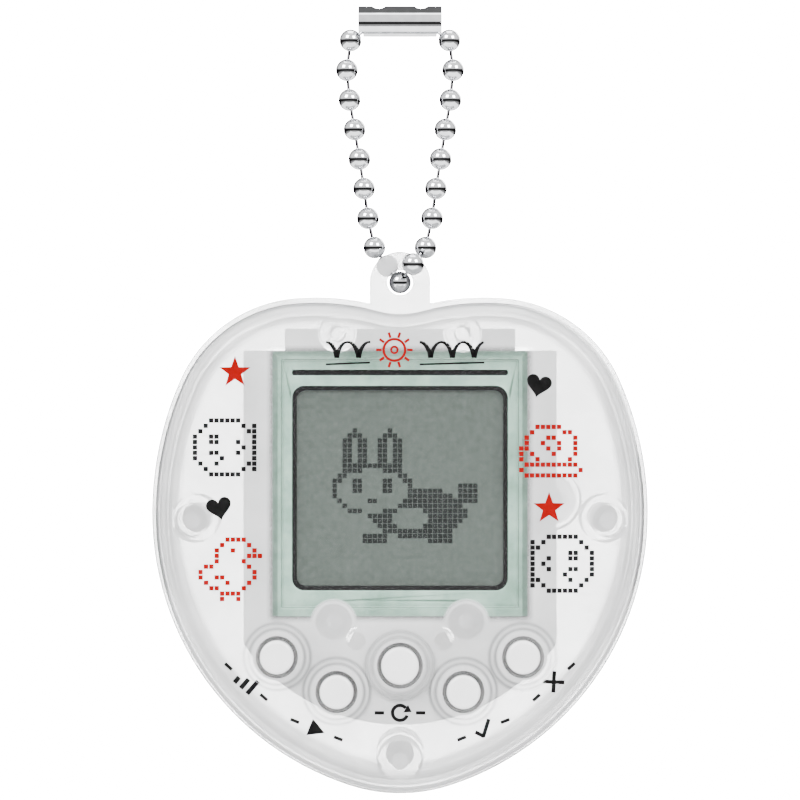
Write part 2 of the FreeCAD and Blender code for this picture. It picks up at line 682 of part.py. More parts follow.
def minus_strip(sketch):
    """The straight contact of the left cell."""
    add_polygon(sketch, [("- 15.2", "cell_z - 1.4"), ("- 3.5", "cell_z - 1.4"),
                         ("- 3.5", "cell_z + 1.8"), ("- 15.2", "cell_z + 1.4")])


def plus_strip(sketch):
    """The stepped contact of the right cell."""
    add_polygon(sketch, [("4", "cell_z - 4.9"), ("15.1", "cell_z - 4.9"), ("15.1", "cell_z - 3"),
                         ("9", "cell_z - 3"), ("9", "cell_z + 1.8"), ("4", "cell_z + 1.8")])


def build_sounder():
    seat = "rear_depth - wall"
    centre = [("0", "sounder_z")]
    plate("sounder_disc", seat, "0.2", circles(centre, "sounder_radius"))
    plate("sounder_ceramic", f"{seat} - 0.2", "0.2", circles(centre, "sounder_radius - 1.8"))


def build_wire(name, routes, radius=0.3):
    """Round wires through hand-chosen points; each route starts and ends on a pad."""
    solids = []
    for route in routes:
        points = [V(across, back, up - number("case_drop")) for across, back, up in route]
        curve = Part.BSplineCurve()
        curve.interpolate(points)
        spine = Part.Wire([curve.toShape()])
        start = Part.Circle(points[0], curve.tangent(curve.FirstParameter)[0], radius)
        ring = Part.Wire([start.toShape()])
        solids.append(spine.makePipeShell([ring], True, True))
    wire = doc.addObject("Part::Feature", name)
    wire.Shape = solids[0] if len(solids) == 1 else Part.Compound(solids)
    return keep(wire, name)


def build_wires():
    build_wire("wire_minus", [
        [(-14.9, 1.42, 1.2), (-15.3, 1.9, -1.5), (-15.2, 1.6, -4.5), (-15.0, 0.32, -7)]])
    build_wire("wire_plus", [
        [(14.5, 1.42, -2.2), (15.4, 1.9, -4), (15.3, 1.6, -6), (15.0, 0.32, -8.5)]])
    build_wire("sounder_wires", [
        [(-5.2, 6.62, -16), (-6.8, 6.1, -16.4), (-9.4, 3, -16), (-10.4, 0.3, -15.4)],
        [(3.2, 6.28, -16), (6.6, 5.9, -15.6), (9.4, 3, -16.2), (10.6, 0.3, -16.6)]], 0.25)


# ---------------------------------------------------------------- chain

def build_connector():
    """A folded tube with an open slot along its top, flared lips and a notch under each end."""
    body = doc.addObject("PartDesign::Body", "chain_connector")
    keep(body, "chain_connector")
    profile = new_sketch(body, "profile", "- tube_length / 2", "YZ_Plane")
    middle, inner = ("0", "tube_radius"), "( tube_radius - tube_wall )"
    tips = {}
    for side, sign in (("left", "- 1 *"), ("right", "1 *")):
        for wall, radius in (("outer", "tube_radius"), ("inner", inner)):
            height = f"tube_radius + sqrt( {radius} ^ 2 - slot_half ^ 2 )"
            tips[side, wall] = (f"{sign} slot_half", height)
    add_arc(profile, middle, "tube_radius", tips["left", "outer"], tips["right", "outer"])
    add_arc(profile, middle, inner, tips["left", "inner"], tips["right", "inner"])
    add_line(profile, tips["left", "outer"], tips["left", "inner"])
    add_line(profile, tips["right", "inner"], tips["right", "outer"])
    make_pad(body, profile, "tube_length")
    add_lips(body)
    return body


def add_lips(body):
    """Flared lips along the slot, waved from the front, and a notch under each end for a link."""
    for side, sign in (("front", "- 1"), ("back", "1")):
        lip = new_sketch(body, f"lip_{side}", "- tube_length / 2", "YZ_Plane")
        corners = [("0.70", "lip_top - 0.72"), ("0.98", "lip_top - 0.70"), ("1.1", "lip_top"),
                   ("0.92", "lip_top")]
        add_polygon(lip, [(f"{sign} * {across}", up) for across, up in corners])
        make_pad(body, lip, "tube_length")
    waves = new_sketch(body, "waves", "3")
    for across in ("- 2.3", "2.3"):
        add_circle(waves, across, "lip_top + 0.95", "1.2")
    make_pocket(body, waves, "6")
    ends = new_sketch(body, "end_notches", "- 1", "XY_Plane")
    for sign in ("- 1", "1"):
        add_polygon(ends, [(f"{sign} * 3.1", "- 0.3"), (f"{sign} * 4", "- 0.3"),
                           (f"{sign} * 4", "- 1"), (f"{sign} * 6", "- 1"),
                           (f"{sign} * 6", "1"), (f"{sign} * 4", "1"),
                           (f"{sign} * 4", "0.3"), (f"{sign} * 3.1", "0.3")])
    make_pocket(body, ends, "1.6")


def turned(item, axis_point, direction):
    """Place an item drawn along +Z so that it runs from a point in a direction."""
    item.Placement = FreeCAD.Placement(axis_point, FreeCAD.Rotation(V(0, 0, 1), direction))
    return item


def bead_shell(name, holes):
    """A hollow bead with a hole in each given direction."""
    outer = sphere(f"{name}_outer", "bead_radius")
    tools = [sphere(f"{name}_inner", "bead_radius - bead_wall")]
    for index, direction in enumerate(holes):
        drill = cylinder(f"{name}_drill_{index}", "bead_hole", "bead_radius + 0.5")
        tools.append(turned(drill, V(0, 0, 0), direction))
    bead = doc.addObject("Part::Cut", f"{name}_bead")
    bead.Base = outer
    bead.Tool = combine("Part::MultiFuse", f"{name}_hollow", tools)
    return bead


def link_between(name, start, stop):
    """A dumb-bell link: a neck with a head inside each of two beads."""
    direction = (stop - start).normalize()
    span = (stop - start).Length
    neck = cylinder(f"{name}_neck", "neck_radius", f"{span} - 2 * head_offset")
    neck.Placement.Base = V(0, 0, number("head_offset"))
    near = sphere(f"{name}_near", "head_radius", "head_offset")
    far = sphere(f"{name}_far", "head_radius", f"{span} - head_offset")
    link = combine("Part::MultiFuse", f"{name}_link", [neck, near, far])
    return turned(link, start, direction)


def leg_places():
    """Bead centres of the right leg from inside the connector to the last row."""
    pitch = number("pitch")
    first = number("first_bead_z")
    rise = number("end_bead_z") - first
    places = [V(number(LEG[0]) - math.sqrt(pitch ** 2 - rise ** 2), 0, number("end_bead_z"))]
    height = first
    for index, alias in enumerate(LEG):
        if index:
            height -= math.sqrt(pitch ** 2 - (number(alias) - number(LEG[index - 1])) ** 2)
        places.append(V(number(alias), 0, height))
    return places


def loop_places(last):
    """Beads of the turn: behind the lug, in its hole and in front of it."""
    hole = V(0, 0, number("lug_height - case_drop"))
    half_way = (last - hole) * 0.5
    off = math.sqrt(number("loop_pitch") ** 2 - half_way.Length ** 2)
    back = hole + V(-half_way.x, off, half_way.z)
    front = hole + V(half_way.x, -off, half_way.z)
    return back, hole, front


def moved(items, place):
    """Gather items drawn about a bead's centre and set them at its place."""
    group = doc.addObject("Part::Compound", "Link_group")
    group.Links = items
    group.Placement.Base = place
    return group


def build_chain():
    right = leg_places()
    loop = loop_places(right[-1])
    for side, sign in (("left", -1), ("right", 1)):
        places = [V(sign * place.x, place.y, place.z) for place in right]
        places.append(loop[0] if side == "left" else loop[2])
        for row in range(1, 9):
            name = f"chain_{side}_{row}"
            up = (places[row - 1] - places[row]).normalize()
            down = (places[row + 1] - places[row]).normalize()
            items = [bead_shell(name, [up, down])]
            if row < 8:
                items.append(link_between(name, V(0, 0, 0), places[row + 1] - places[row]))
            keep(moved(items, places[row]), name)
    build_end_beads(right)
    build_turn(right[-1], loop)


def build_end_beads(right):
    """The two beads held in the connector, each with the link that leaves it."""
    groups = []
    for side, sign in (("left", -1), ("right", 1)):
        start = V(sign * right[0].x, 0, right[0].z)
        span = V(sign * right[1].x, 0, right[1].z) - start
        name = f"end_{side}"
        inward = V(-sign, 0, 0)
        items = [bead_shell(name, [span, inward]), link_between(name, V(0, 0, 0), span)]
        groups.append(moved(items, start))
    compound("end_beads", groups)


def build_turn(last, loop):
    """The three beads and four links that pass through the lug."""
    left_last = V(-last.x, 0, last.z)
    stops = [left_last, *loop, last]
    beads, links = [], []
    for index in (1, 2, 3):
        name = f"turn_{index}"
        holes = [stops[index - 1] - stops[index], stops[index + 1] - stops[index]]
        beads.append(moved([bead_shell(name, holes)], stops[index]))
    for index in range(4):
        links.append(link_between(f"turn_link_{index}", stops[index], stops[index + 1]))
    compound("turn_beads", beads)
    compound("turn_links", links)


# ---------------------------------------------------------------- assembly

build_front_case()
build_rear_case()
build_battery_door()
for key, (across, up) in BUTTONS.items():
    build_button(key, across, up)
    build_dome(key, across, up)
build_screen()
build_board()
build_power()
build_sounder()
build_wires()
build_screws("case_screws", CASE_SCREWS, "5.5", "1", "8")
build_screws("board_screws", BOARD_BOSSES, "0.8", "0.8", "4.5", "1.4", "screw_pilot - 0.15")
build_screws("door_screw", [("ear_x", "cell_z")], "8.4", "0.8", "4.2")
build_connector()
build_chain()
doc.recompute()

for item in doc.Objects:
    if "Invalid" in item.State or "Error" in item.State:
        raise RuntimeError(f"{item.Name}: {item.State}")

os.makedirs("parts", exist_ok=True)
for node in NODES:
    if node.Shape.isNull() or not node.Shape.isValid():
        raise RuntimeError(f"{node.Label}: the shape is not valid")
    node.Shape.exportStep(os.path.join("parts", f"{node.Label}.step"))
print(len(NODES), "nodes written")
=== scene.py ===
"""Looks of the virtual pet keychain: clear case, chrome chain, screen, prints and studio."""
import json
import math

import bpy
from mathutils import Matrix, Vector
from mathutils.bvhtree import BVHTree


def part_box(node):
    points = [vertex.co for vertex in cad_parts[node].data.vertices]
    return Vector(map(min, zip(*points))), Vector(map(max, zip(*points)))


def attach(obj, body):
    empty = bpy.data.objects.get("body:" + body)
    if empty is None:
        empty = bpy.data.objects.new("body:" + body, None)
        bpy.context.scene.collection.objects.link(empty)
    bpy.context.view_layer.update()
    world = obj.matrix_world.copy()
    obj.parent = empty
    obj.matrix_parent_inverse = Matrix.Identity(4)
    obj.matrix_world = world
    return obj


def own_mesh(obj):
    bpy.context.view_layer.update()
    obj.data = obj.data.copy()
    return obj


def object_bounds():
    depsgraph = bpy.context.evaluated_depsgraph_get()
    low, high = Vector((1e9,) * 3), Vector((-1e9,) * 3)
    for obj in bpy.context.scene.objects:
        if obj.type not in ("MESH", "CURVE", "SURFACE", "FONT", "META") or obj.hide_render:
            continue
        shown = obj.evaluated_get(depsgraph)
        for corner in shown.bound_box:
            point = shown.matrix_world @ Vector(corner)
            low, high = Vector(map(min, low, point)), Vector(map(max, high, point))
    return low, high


MM = 0.001
# Millimetres.
DOT = 0.54                      # pitch of the screen's dots
COLLAR_RADII = (2.95, 3.55)     # edges of the stepped rings round the buttons, where shade is painted
COLLAR_FRONT = -6.5             # the rings lie in front of this y
BOSS_INSET = 1.4                # from each outer end of the board screws to their boss's axis
BOSS_EDGE = (2.2, 2.6)          # where the clear window begins round a boss
COVER_FRONT = -2.0              # the front cover's face lies in front of this y
INK_GAP, INK_THICKNESS = 0.01, 0.03

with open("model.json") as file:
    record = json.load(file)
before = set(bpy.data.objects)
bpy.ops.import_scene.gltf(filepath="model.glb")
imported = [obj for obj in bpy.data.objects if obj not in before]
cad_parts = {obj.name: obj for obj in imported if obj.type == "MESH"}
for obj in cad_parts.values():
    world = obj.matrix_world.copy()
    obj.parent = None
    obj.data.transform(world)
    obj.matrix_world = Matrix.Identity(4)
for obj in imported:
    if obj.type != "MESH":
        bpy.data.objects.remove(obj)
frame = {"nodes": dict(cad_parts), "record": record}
nodes = frame["nodes"]
cad_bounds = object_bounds()


# ---------------------------------------------------------------- materials

class Paint:
    """A Principled material whose colour, roughness and relief vary with procedural noise."""

    def __init__(self, name, low, high, rough, grain=400.0, relief=0.03, **sockets):
        self.material = bpy.data.materials.new(name)
        self.material.use_nodes = True
        self.tree = self.material.node_tree
        self.shader = self.tree.nodes["Principled BSDF"]
        self.coords = self.tree.nodes.new("ShaderNodeTexCoord")
        self.noise = self.add("ShaderNodeTexNoise", Scale=grain, Detail=6.0, Roughness=0.55)
        self.join(self.coords.outputs["Object"], self.noise.inputs["Vector"])
        self.ramp = self.add("ShaderNodeValToRGB")
        self.ramp.color_ramp.elements[0].position = 0.32
        self.ramp.color_ramp.elements[1].position = 0.68
        self.ramp.color_ramp.elements[0].color = (*low, 1)
        self.ramp.color_ramp.elements[1].color = (*high, 1)
        self.join(self.noise.outputs["Fac"], self.ramp.inputs["Fac"])
        self.colour = self.ramp.outputs["Color"]
        self.join(self.colour, self.shader.inputs["Base Color"])
        self.gloss = self.span(self.noise.outputs["Fac"], 0.3, 0.7, rough[0], rough[1])
        self.join(self.gloss, self.shader.inputs["Roughness"])
        self.fine = self.add("ShaderNodeTexNoise", Scale=grain * 4, Detail=4.0)
        self.join(self.coords.outputs["Object"], self.fine.inputs["Vector"])
        self.bump = self.add("ShaderNodeBump", Strength=relief, Distance=0.0002)
        self.join(self.fine.outputs["Fac"], self.bump.inputs["Height"])
        self.join(self.bump.outputs["Normal"], self.shader.inputs["Normal"])
        for socket, setting in sockets.items():
            self.shader.inputs[socket.replace("_", " ")].default_value = setting

    def add(self, kind, **inputs):
        """A new node with some of its inputs set."""
        node = self.tree.nodes.new(kind)
        for name, setting in inputs.items():
            node.inputs[name].default_value = setting
        return node

    def join(self, output, socket):
        """Link an output to a socket."""
        self.tree.links.new(output, socket)

    def span(self, source, low, high, to_low, to_high):
        """A value stretched from one range to another, clamped."""
        node = self.add("ShaderNodeMapRange")
        names = ("From Min", "From Max", "To Min", "To Max")
        for name, setting in zip(names, (low, high, to_low, to_high)):
            node.inputs[name].default_value = setting
        self.join(source, node.inputs["Value"])
        return node.outputs["Result"]

    def math(self, operation, first, second=0.0):
        """The result of a Math node on two numbers or outputs."""
        node = self.tree.nodes.new("ShaderNodeMath")
        node.operation = operation
        for index, term in enumerate((first, second)):
            if isinstance(term, (int, float)):
                node.inputs[index].default_value = term
            else:
                self.join(term, node.inputs[index])
        return node.outputs[0]

    def axes(self):
        """Object X, Y and Z as separate outputs, in metres."""
        split = self.add("ShaderNodeSeparateXYZ")
        self.join(self.coords.outputs["Object"], split.inputs[0])
        return split.outputs

    def tint(self, mask, colour):
        """Blend the base colour towards another where a mask is one."""
        mix = self.tree.nodes.new("ShaderNodeMix")
        mix.data_type = "RGBA"
        self.join(mask, mix.inputs["Factor"])
        self.join(self.colour, mix.inputs["A"])
        mix.inputs["B"].default_value = (*colour, 1)
        self.colour = mix.outputs["Result"]
        self.join(self.colour, self.shader.inputs["Base Color"])

    def flank(self, low, high):
        """Zero on front and back faces and one on side walls, from the object's own normals."""
        split = self.add("ShaderNodeSeparateXYZ")
        self.join(self.coords.outputs["Normal"], split.inputs[0])
        return self.span(self.math("ABSOLUTE", split.outputs["Y"]), high, low, 0.0, 1.0)

    def clear(self, low, high):
        """See-through, between two opacities that follow the noise."""
        self.opacity = self.span(self.noise.outputs["Fac"], 0.3, 0.7, low, high)
        self.join(self.opacity, self.shader.inputs["Alpha"])
        return self


def window_mask(paint, node, grow):
    """One inside a node's outline seen from the front, soft at the edge."""
    low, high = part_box(node)
    axes = paint.axes()
    masks = []
    for index in (0, 2):
        middle, half = (low[index] + high[index]) / 2, (high[index] - low[index]) / 2 + grow
        away = paint.math("ABSOLUTE", paint.math("SUBTRACT", axes[index], middle))
        masks.append(paint.span(away, half - 0.4 * MM, half + 0.4 * MM, 1.0, 0.0))
    return paint.math("MULTIPLY", *masks)


def nearest_of(paint, axes, places):
    """The distance, seen from the front, to the nearest of some places."""
    nearest = 1.0
    for across, up in places:
        squares = []
        for axis, middle in ((axes[0], across), (axes[2], up)):
            away = paint.math("SUBTRACT", axis, middle)
            squares.append(paint.math("MULTIPLY", away, away))
        reach = paint.math("SQRT", paint.math("ADD", *squares))
        nearest = paint.math("MINIMUM", reach, nearest)
    return nearest


def collar_shade_mask(paint):
    """Where shade is painted: one along the edges of the stepped rings round the buttons, on the
    front face only.
    """
    axes = paint.axes()
    places = []
    for key in ("left_outer", "left_inner", "middle", "right_inner", "right_outer"):
        low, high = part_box(f"button_{key}")
        places.append(((low[0] + high[0]) / 2, (low[2] + high[2]) / 2))
    nearest = nearest_of(paint, axes, places)
    bands = []
    for radius in COLLAR_RADII:
        off = paint.math("ABSOLUTE", paint.math("SUBTRACT", nearest, radius * MM))
        bands.append(paint.span(off, 0.05 * MM, 0.28 * MM, 1.0, 0.0))
    front = paint.math("LESS_THAN", axes[1], COLLAR_FRONT * MM)
    return paint.math("MULTIPLY", paint.math("MAXIMUM", *bands), front)


def screen_mask(paint):
    """One on the front cover over the screen's frame, but not over the two bosses that notch it."""
    axes = paint.axes()
    low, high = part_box("board_screws")
    inset, level = BOSS_INSET * MM, (low[2] + high[2]) / 2
    nearest = nearest_of(paint, axes, [(low[0] + inset, level), (high[0] - inset, level)])
    beside = paint.span(nearest, BOSS_EDGE[0] * MM, BOSS_EDGE[1] * MM, 0.0, 1.0)
    front = paint.math("LESS_THAN", axes[1], COVER_FRONT * MM)
    mask = paint.math("MULTIPLY", window_mask(paint, "lcd_holder", 0.2 * MM), beside)
    return paint.math("MULTIPLY", mask, front)


def clear_case(name, low, high):
    """Milky clear plastic with painted shade darkening its edges and the stepped rings round the
    buttons; denser at its edges and clearest over the screen.
    """
    paint = Paint(name, (0.90, 0.905, 0.91), (0.97, 0.975, 0.98), (0.08, 0.16), 120.0, 0.02,
                  IOR=1.5, Coat_Weight=0.5, Coat_Roughness=0.03).clear(low, high)
    edge = paint.flank(0.45, 0.97)
    # Painted shade: the side walls are tinted dark grey, standing in for the dark edges of clear
    # plastic.
    paint.tint(paint.math("MULTIPLY", edge, 0.80), (0.17, 0.175, 0.18))
    # Painted shade: dark grey lines along the edges of the stepped rings round the buttons.
    collar_shade = collar_shade_mask(paint)
    paint.tint(paint.math("MULTIPLY", collar_shade, 0.6), (0.24, 0.245, 0.25))
    opacity = paint.math("ADD", paint.opacity, paint.math("MULTIPLY", edge, 0.45))
    left = paint.math("SUBTRACT", 1.0, paint.math("MULTIPLY", screen_mask(paint), 0.985))
    paint.join(paint.math("MULTIPLY", opacity, left), paint.shader.inputs["Alpha"])
    return paint.material


def frame_paint():
    """Pale green clear plastic whose edges are darker and denser with painted shade."""
    paint = Paint("frame_paint", (0.34, 0.55, 0.44), (0.52, 0.75, 0.63), (0.05, 0.12), 260.0, 0.03,
                  IOR=1.5, Coat_Weight=0.8, Coat_Roughness=0.03).clear(0.50, 0.66)
    edge = paint.flank(0.2, 0.9)
    # Painted shade: the side walls are tinted dark green, standing in for the dark edges of clear
    # plastic.
    paint.tint(paint.math("MULTIPLY", edge, 0.8), (0.16, 0.26, 0.21))
    return paint.material


def circuit_paint():
    """Solder mask with tinned tracks and pads."""
    paint = Paint("board_paint", (0.10, 0.11, 0.105), (0.22, 0.23, 0.225), (0.3, 0.45), 160.0)
    cells = paint.add("ShaderNodeTexVoronoi", Scale=900.0)
    cells.feature = "DISTANCE_TO_EDGE"
    paint.join(paint.coords.outputs["Object"], cells.inputs["Vector"])
    track = paint.span(cells.outputs["Distance"], 0.03, 0.06, 1.0, 0.0)
    paint.tint(paint.math("MULTIPLY", track, 0.6), (0.34, 0.35, 0.34))
    return paint.material


def striped_paint():
    """The rubber connector's fine conductive stripes."""
    paint = Paint("zebra_paint", (0.60, 0.60, 0.62), (0.72, 0.72, 0.73), (0.5, 0.6), 500.0)
    wave = paint.add("ShaderNodeTexWave", Scale=900.0)
    paint.join(paint.coords.outputs["Object"], wave.inputs["Vector"])
    paint.tint(wave.outputs["Fac"], (0.03, 0.03, 0.03))
    return paint.material


def screen_paint():
    """Grey-green screen ground with the faint grid of unlit dots."""
    paint = Paint("screen_paint", (0.050, 0.063, 0.055), (0.068, 0.084, 0.074), (0.45, 0.6),
                  1500.0, 0.01, Specular_IOR_Level=0.15)
    axes = paint.axes()
    for index in (0, 2):
        phase = paint.math("FRACT", paint.math("MULTIPLY", axes[index], 1 / (DOT * MM)))
        line = paint.math("GREATER_THAN", phase, 0.86)
        paint.tint(paint.math("MULTIPLY", line, 0.10), (0.095, 0.115, 0.103))
    return paint.material


def plain(name, low, high, rough, **extra):
    """The material of a paint that needs nothing more."""
    return Paint(name, low, high, rough, **extra).material


PAINTS = {
    "clear_case": clear_case("clear_case_paint", 0.40, 0.52),
    "clear_door": clear_case("clear_door_paint", 0.42, 0.52),
    "green_clear": frame_paint(),
    "white_cap": plain("white_cap_paint", (0.93, 0.93, 0.93), (0.98, 0.98, 0.98), (0.16, 0.24),
                       Coat_Weight=0.3, Coat_Roughness=0.1),
    "silicone": Paint("silicone_paint", (0.78, 0.79, 0.78), (0.88, 0.89, 0.88), (0.4, 0.5)).clear(
        0.7, 0.8).material,
    "black_gasket": plain("black_gasket_paint", (0.002, 0.002, 0.002), (0.006, 0.006, 0.006),
                          (0.6, 0.8),
                          Specular_IOR_Level=0.08),
    "polariser": screen_paint(),
    "lcd_glass": Paint("lcd_glass_paint", (0.70, 0.76, 0.72), (0.78, 0.84, 0.80), (0.02, 0.05),
                       relief=0.0, Specular_IOR_Level=0.3).clear(0.10, 0.14).material,
    "reflector": plain("reflector_paint", (0.40, 0.46, 0.42), (0.50, 0.56, 0.52), (0.3, 0.45),
                       Metallic=0.4),
    "zebra": striped_paint(),
    "foam": plain("foam_paint", (0.62, 0.62, 0.60), (0.80, 0.80, 0.77), (0.8, 0.95), grain=2500.0,
                  relief=0.6),
    "board": circuit_paint(),
    "epoxy": plain("epoxy_paint", (0.010, 0.010, 0.012), (0.03, 0.03, 0.03), (0.12, 0.25)),
    "chips": plain("chips_paint", (0.05, 0.045, 0.04), (0.14, 0.12, 0.10), (0.3, 0.5)),
    "cell_steel": plain("cell_steel_paint", (0.62, 0.62, 0.63), (0.76, 0.76, 0.77), (0.18, 0.32),
                        Metallic=1.0),
    "contact_metal": plain("contact_paint", (0.66, 0.63, 0.56), (0.80, 0.77, 0.70), (0.2, 0.35),
                           Metallic=1.0),
    "brass": plain("brass_paint", (0.66, 0.46, 0.17), (0.80, 0.60, 0.28), (0.22, 0.36),
                   Metallic=1.0),
    "ceramic": plain("ceramic_paint", (0.74, 0.74, 0.70), (0.86, 0.86, 0.83), (0.35, 0.5)),
    "red_wire": plain("red_wire_paint", (0.42, 0.012, 0.012), (0.60, 0.03, 0.02), (0.35, 0.5)),
    "black_wire": plain("black_wire_paint", (0.012, 0.012, 0.012), (0.03, 0.03, 0.03), (0.35, 0.5)),
    "pair_wire": plain("pair_wire_paint", (0.38, 0.38, 0.42), (0.55, 0.55, 0.58), (0.35, 0.5)),
    "screw_steel": plain("screw_steel_paint", (0.72, 0.72, 0.74), (0.84, 0.84, 0.86), (0.42, 0.58),
                         Metallic=1.0),
    "chain_chrome": plain("chrome_paint", (0.66, 0.67, 0.69), (0.80, 0.81, 0.83), (0.02, 0.06),
                          grain=900.0, relief=0.005, Metallic=1.0),
}
INKS = {
    "black": plain("black_ink", (0.002, 0.002, 0.002), (0.006, 0.006, 0.006), (0.6, 0.8),
                   grain=1500.0,
                   Specular_IOR_Level=0.05),
    "red": plain("red_ink", (0.20, 0.0, 0.0005), (0.25, 0.0005, 0.001), (0.6, 0.8), grain=1500.0,
                 Specular_IOR_Level=0.05),
    "dot": plain("dot_ink", (0.006, 0.008, 0.007), (0.012, 0.015, 0.014), (0.6, 0.8), grain=1500.0,
                 Specular_IOR_Level=0.05),
}


def dress_cad():
    """Give every CAD node the material of its slot."""
    for entry in frame["record"]["subparts"]:
        mesh = nodes[entry["node"]].data
        mesh.materials.clear()
        mesh.materials.append(PAINTS[entry["material_slot"]])


def soften(node, width):
    """Break a moulded piece's sharp edges so that its steps catch the light."""
    weld = nodes[node].modifiers.new("weld", "WELD")
    weld.merge_threshold = 0.002 * MM
    bevel = nodes[node].modifiers.new("bevel", "BEVEL")
    bevel.width, bevel.segments, bevel.limit_method = width * MM, 2, "ANGLE"
    bevel.angle_limit = math.radians(50)


# ---------------------------------------------------------------- prints

def surface_finder(node):
    """The front surface of a node: a function from x, z to y, all in millimetres."""
    tree = BVHTree.FromObject(nodes[node], bpy.context.evaluated_depsgraph_get())

    def front(across, up):
        hit = tree.ray_cast(Vector((across * MM, -0.05, up * MM)), Vector((0, 1, 0)))[0]
        return hit.y / MM
    return front


def ink(name, outlines, colour, front):
    """Flat prints laid on a front surface; each outline is a ring of (x, z) in millimetres."""
    corners, faces = [], []
    for outline in outlines:
        first = len(corners)
        count = len(outline)
        levels = [front(across, up) for across, up in outline]
        for lift in (INK_GAP + INK_THICKNESS, INK_GAP):
            corners += [(x * MM, (y - lift) * MM, z * MM) for (x, z), y in zip(outline, levels)]
        faces.append([first + step for step in range(count)])
        faces.append([first + count + step for step in reversed(range(count))])
        for step in range(count):
            after = (step + 1) % count
            faces.append([first + after, first + step,
                          first + count + step, first + count + after])
    mesh = bpy.data.meshes.new(name)
    mesh.from_pydata(corners, [], faces)
    mesh.materials.append(INKS[colour])
    item = bpy.data.objects.new(name, mesh)
    bpy.context.scene.collection.objects.link(item)
    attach(item, "case")


def square(across, up, half):
    """An upright square about a point."""
    return [(across - half, up - half), (across + half, up - half),
            (across + half, up + half), (across - half, up + half)]


def placed(outline, across, up, turn=0.0, scale=1.0):
    """An outline turned, scaled and moved; turn in degrees."""
    cosine, sine = math.cos(math.radians(turn)) * scale, math.sin(math.radians(turn)) * scale
    return [(across + x * cosine - z * sine, up + x * sine + z * cosine) for x, z in outline]


def star(radius):
    """A five-pointed star with one point up."""
    points = []
    for step in range(10):
        reach = radius if step % 2 == 0 else radius * 0.40
        angle = math.radians(90 + 36 * step)
        points.append((reach * math.cos(angle), reach * math.sin(angle)))
    return points


def heart(size):
    """The usual heart curve, 32 units wide, brought to a size."""
    points = []
    for step in range(36):
        angle = 2 * math.pi * step / 36
        across = 16 * math.sin(angle) ** 3
        up = (13 * math.cos(angle) - 5 * math.cos(2 * angle)
              - 2 * math.cos(3 * angle) - math.cos(4 * angle))
        points.append((across * size / 32, up * size / 32))
    return points[::-1]


def ring(radius, width, start=0, stop=360, steps=48):
    """Short quads along a circle."""
    quads = []
    for step in range(steps):
        angles = [math.radians(start + (stop - start) * (step + end) / steps) for end in (0, 1)]
        inner, outer = radius - width / 2, radius + width / 2
        quads.append([(inner * math.cos(angles[0]), inner * math.sin(angles[0])),
                      (outer * math.cos(angles[0]), outer * math.sin(angles[0])),
                      (outer * math.cos(angles[1]), outer * math.sin(angles[1])),
                      (inner * math.cos(angles[1]), inner * math.sin(angles[1]))])
    return quads


def bar(start, stop, width):
    """A straight stroke between two points."""
    along = Vector(stop) - Vector(start)
    side = Vector((-along.y, along.x)).normalized() * width / 2
    ends = [Vector(start) - side, Vector(stop) - side, Vector(stop) + side, Vector(start) + side]
    return [(end.x, end.y) for end in ends]


BIRD = """
.....####...
....#....#..
...#..#...#.
...#.....###
...#....#...
.##......#..
#.........#.
#..##.....#.
.#...#...#..
..##....#...
....####....
....#..#...."""
FISH = """
...######...
..#......#.#
.#........##
#..##......#
#..##...#..#
#........#.#
#..##...#..#
#....#.....#
.#..#.....##
..#......#.#
...######..."""
SNAIL = """
....#####...
..##.....#..
.#...##...#.
.#..#..#..#.
.#..#.#...##
.#...#...#.#
..#.....#..#
.##########.
#..........#
.##########."""
SPRITES = [("fish_print", FISH, "black", -18.7, -44.6, False),
           ("bird_print", BIRD, "red", -18.1, -57.6, False),
           ("snail_print", SNAIL, "red", 16.1, -45.0, True),
           ("fish_print_right", FISH, "black", 17.3, -57.0, True)]
STARS = [("star_left", -17.6, -36.6), ("star_right", 15.9, -51.1)]
HEARTS = [("heart_left", -19.3, -51.0, 12), ("heart_right", 14.8, -37.9, -12)]
BANNER, SUN = -34.2, -0.6       # the banner's height and the sun's place across it


def dots(rows, pitch, across, up, flip=False):
    """The lit cells of a text pattern as small squares about a centre."""
    lines = rows.split()
    wide, tall = max(len(line) for line in lines), len(lines)
    cells = []
    for line_at, line in enumerate(lines):
        for column, mark in enumerate(line):
            if mark == "#":
                place = wide - 1 - column if flip else column
                cells.append(square(across + (place - (wide - 1) / 2) * pitch,
                                    up - (line_at - (tall - 1) / 2) * pitch, pitch * 0.42))
    return cells


def print_pictures(front):
    """The animals, stars and hearts down both sides of the case."""
    for name, rows, colour, across, up, flip in SPRITES:
        ink(name, dots(rows, 0.575, across, up, flip), colour, front)
    for name, across, up in STARS:
        ink(name, [placed(star(1.75), across, up)], "red", front)
    for name, across, up, turn in HEARTS:
        ink(name, [placed(heart(2.7), across, up, turn)], "black", front)


def sun_outlines():
    """A rayed disc with a small ring at its centre."""
    outlines = [placed(quad, SUN, BANNER) for quad in ring(1.15, 0.26)]
    for step in range(10):
        angle = math.radians(36 * step)
        ends = [(reach * math.cos(angle) + SUN, reach * math.sin(angle) + BANNER)
                for reach in (1.35, 1.95)]
        outlines.append(bar(*ends, 0.26))
    return outlines + [placed(quad, SUN, BANNER) for quad in ring(0.35, 0.22, steps=16)]


def wave_outlines(start, stop, steps=40):
    """A brush wave that swells and thins along its length, over a thin straight stroke."""
    outlines = []
    for step in range(steps):
        points = []
        for end in (0, 1):
            across = start + (stop - start) * (step + end) / steps
            phase = (across - start) * 2.7
            points.append((across + 0.35 * math.sin(phase), BANNER + 0.85 * math.cos(phase)))
        outlines.append(bar(*points, 0.22 + 0.32 * abs(math.sin(phase / 2))))
    outlines.append(bar((start, BANNER - 1.55), (stop, BANNER - 1.35), 0.2))
    return outlines


def print_banner(front):
    """A sun between two brush waves, where a toy carries its name."""
    ink("sun_print", sun_outlines(), "red", front)
    ink("wave_print", wave_outlines(-7.9, -3.2) + wave_outlines(2.1, 9.0), "black", front)


